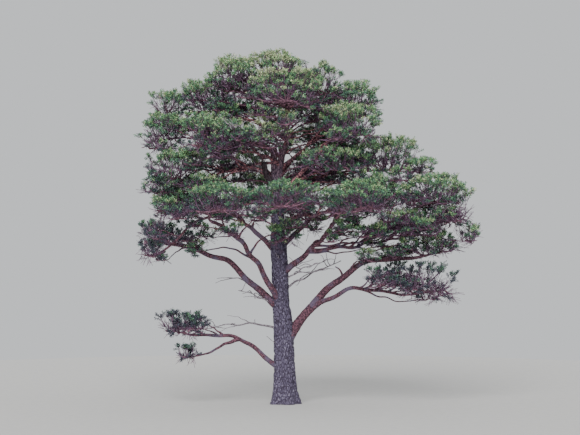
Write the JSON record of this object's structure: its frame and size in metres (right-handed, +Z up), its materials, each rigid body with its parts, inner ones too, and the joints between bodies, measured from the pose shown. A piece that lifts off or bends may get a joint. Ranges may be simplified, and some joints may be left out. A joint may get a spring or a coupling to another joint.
{
  "type": "scots pine tree",
  "caption": "Old open-grown Scots pine with one stout stem, long crooked boughs and a broad crown of flat plates of needles.",
  "frame": {"origin": "middle of the flat cut under the trunk, at ground level", "axes": "+Z up along the trunk, -Y towards the front that the picture shows, +X to the right in that view"},
  "size_m": [17.1681, 13.785, 17.5251],
  "materials": {
    "trunk_bark": "deeply cracked grey-violet bark",
    "bough_bark": "flaking red-brown bark",
    "dead_wood": "weathered grey wood",
    "needles": "blue-green needles, paler at the shoot tips"
  },
  "bodies": {
    "root": {"trunk": "trunk_bark", "bough_lowest_left": "bough_bark", "bough_left_low": "bough_bark", "bough_left_inner": "bough_bark", "bough_left_drooping": "bough_bark", "bough_left_mid": "bough_bark", "snag": "dead_wood", "bough_left_tier": "bough_bark", "bough_left_front": "bough_bark", "bough_left_edge": "bough_bark", "bough_left_shoulder": "bough_bark", "bough_right_low": "bough_bark", "bough_right_arching": "bough_bark", "bough_right_mid": "bough_bark", "bough_right_wide": "bough_bark", "bough_right_far": "bough_bark", "bough_right_upper": "bough_bark", "bough_right_rising": "bough_bark", "bough_right_shoulder": "bough_bark", "bough_front_right": "bough_bark", "bough_back_low_left": "bough_bark", "bough_back_low": "bough_bark", "bough_back_low_right": "bough_bark", "bough_back_mid_left": "bough_bark", "bough_back_mid_right": "bough_bark", "dead_branch_left": "dead_wood", "dead_branch_right": "dead_wood", "foliage_lowest_left": "needles", "foliage_left_low": "needles", "foliage_left_drooping": "needles", "foliage_left_mid": "needles", "foliage_left_tier": "needles", "foliage_left_front": "needles", "foliage_left_edge": "needles", "foliage_left_far": "needles", "foliage_left_shoulder": "needles", "foliage_front_left": "needles", "foliage_front": "needles", "foliage_front_right": "needles", "foliage_front_upper": "needles", "foliage_stem_clump": "needles", "foliage_right_low": "needles", "foliage_right_arching": "needles", "foliage_right_inner": "needles", "foliage_right_wide": "needles", "foliage_right_far": "needles", "foliage_right_upper": "needles", "foliage_right_middle": "needles", "foliage_right_rising": "needles", "foliage_right_shoulder": "needles", "foliage_back_low_left": "needles", "foliage_back_low": "needles", "foliage_back_low_right": "needles", "foliage_back_mid_left": "needles", "foliage_back_mid_right": "needles", "foliage_top_front": "needles", "foliage_top_left": "needles", "foliage_top_right": "needles", "foliage_top_back": "needles", "foliage_top": "needles"}
  },
  "joints": []
}
